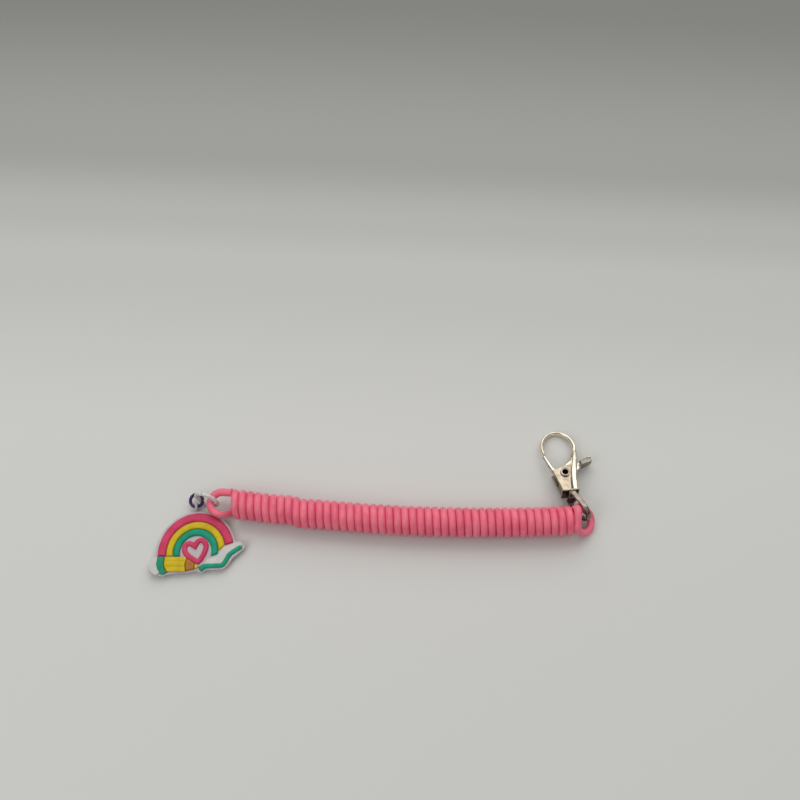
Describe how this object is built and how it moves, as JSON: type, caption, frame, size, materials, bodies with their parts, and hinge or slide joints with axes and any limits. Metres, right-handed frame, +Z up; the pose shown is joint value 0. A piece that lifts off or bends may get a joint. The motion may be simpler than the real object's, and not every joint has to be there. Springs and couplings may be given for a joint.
{
  "type": "knitting needle holder",
  "caption": "Soft spring-coil cord with a swivel trigger clasp at one end and a moulded rainbow charm on two small rings at the other, for holding knitting needles together",
  "frame": {"origin": "middle of the whole part's footprint, on the floor that it lies on", "axes": "+X along the coil towards the clasp, -Y towards the front where the charm lies, +Z up"},
  "size_m": [0.1536, 0.064, 0.0108],
  "materials": {
    "cord": "satin translucent pink",
    "nickel": "bright nickel plate",
    "white_ring": "off-white coating",
    "purple_ring": "glossy dark purple",
    "charm_white": "soft satin",
    "charm_pink": "soft satin",
    "charm_yellow": "soft satin",
    "charm_green": "soft satin",
    "charm_wood": "soft satin"
  },
  "bodies": {
    "root": {"coil_cord": "cord"},
    "free_end": {"coil_end_loop": "cord"},
    "swivel": {"swivel_link": "nickel"},
    "clasp": {"clasp_body": "nickel", "gate_rivet": "nickel", "gate_spring": "nickel", "swivel_post": "nickel"},
    "gate": {"clasp_gate": "nickel"},
    "ring_white": {"white_ring": "white_ring"},
    "ring_purple": {"purple_ring": "purple_ring"},
    "charm": {"charm_base": "charm_white", "rainbow_pink": "charm_pink", "rainbow_yellow": "charm_yellow", "rainbow_green": "charm_green", "heart_outline": "charm_pink", "pencil_eraser": "charm_white", "pencil_ferrule": "charm_green", "pencil_barrel": "charm_yellow", "pencil_wood": "charm_wood", "pencil_tip": "charm_yellow", "page_white": "charm_white", "page_line": "charm_green"}
  },
  "joints": [
    {"name": "coil_stretch", "type": "slide", "parent": "root", "child": "free_end", "axis": [1, 0, 0], "range_m": [0, 0.3], "stiffness_N_per_m": 30, "deforming": ["coil_cord"]},
    {"name": "link_swing", "type": "hinge", "parent": "free_end", "child": "swivel", "pos_m": [0.07283, -0.00044, 0.00566], "axis": [0.8327, 0.5495, -0.069], "range_deg": [0, 70]},
    {"name": "clasp_swivel", "type": "hinge", "parent": "swivel", "child": "clasp", "pos_m": [0.06819, 0.00522, 0.00504], "axis": [-0.1548, 0.9773, -0.1448], "continuous": true},
    {"name": "gate_open", "type": "hinge", "parent": "clasp", "child": "gate", "pos_m": [0.06652, 0.0127, 0.00392], "axis": [0.0227, -0.143, -0.9895], "range_deg": [0, 25], "stiffness_Nm_per_rad": 0.05},
    {"name": "white_ring_swing", "type": "hinge", "parent": "root", "child": "ring_white", "pos_m": [-0.05856, -0.00496, 0.00517], "axis": [0, 0.9945, 0.1045], "range_deg": [-3, 60]},
    {"name": "purple_ring_swing", "type": "hinge", "parent": "ring_white", "child": "ring_purple", "pos_m": [-0.06393, -0.00333, 0.00266], "axis": [0, 0, 1], "range_deg": [-70, 5]},
    {"name": "charm_swing", "type": "hinge", "parent": "ring_purple", "child": "charm", "pos_m": [-0.06359, -0.00556, 0.00205], "axis": [0.9886, 0.1503, 0], "range_deg": [0, 60]}
  ]
}
